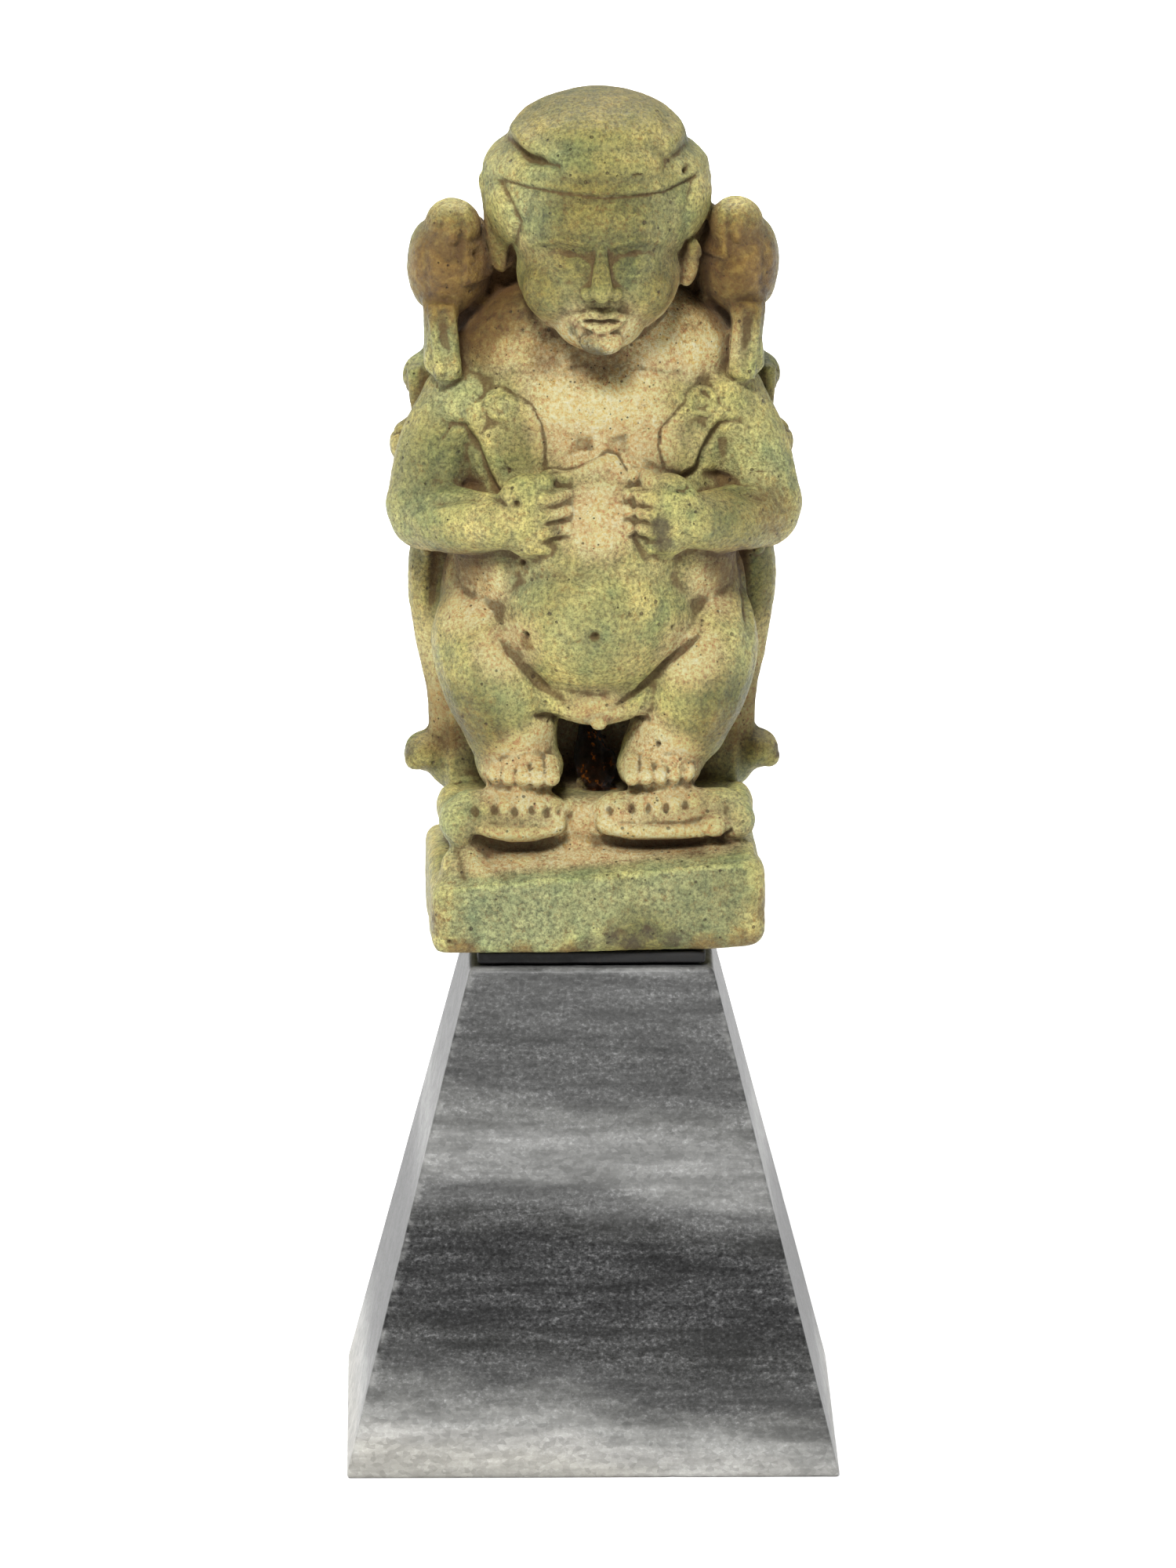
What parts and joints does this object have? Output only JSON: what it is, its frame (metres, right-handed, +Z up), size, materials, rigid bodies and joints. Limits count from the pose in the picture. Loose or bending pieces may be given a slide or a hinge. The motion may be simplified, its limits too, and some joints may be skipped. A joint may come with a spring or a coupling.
{
  "type": "pataikos figure",
  "caption": "Small worn faience figure of a squat dwarf god between falcons and crocodiles, on a low plinth, fixed on a tapered marble display stand.",
  "frame": {"origin": "centre of the marble stand's underside, on the surface that the object stands on", "axes": "+Z up, -Y towards the viewer, the way the dwarf faces, +X to the viewer's right"},
  "size_m": [0.0506, 0.0506, 0.1406],
  "materials": {
    "faience": "worn satin glaze over a cream core",
    "putty": "matt dark museum putty",
    "marble": "honed grey banded marble"
  },
  "bodies": {
    "root": {"pataikos_figure": "faience", "putty_pad": "putty", "marble_stand": "marble"}
  },
  "joints": []
}
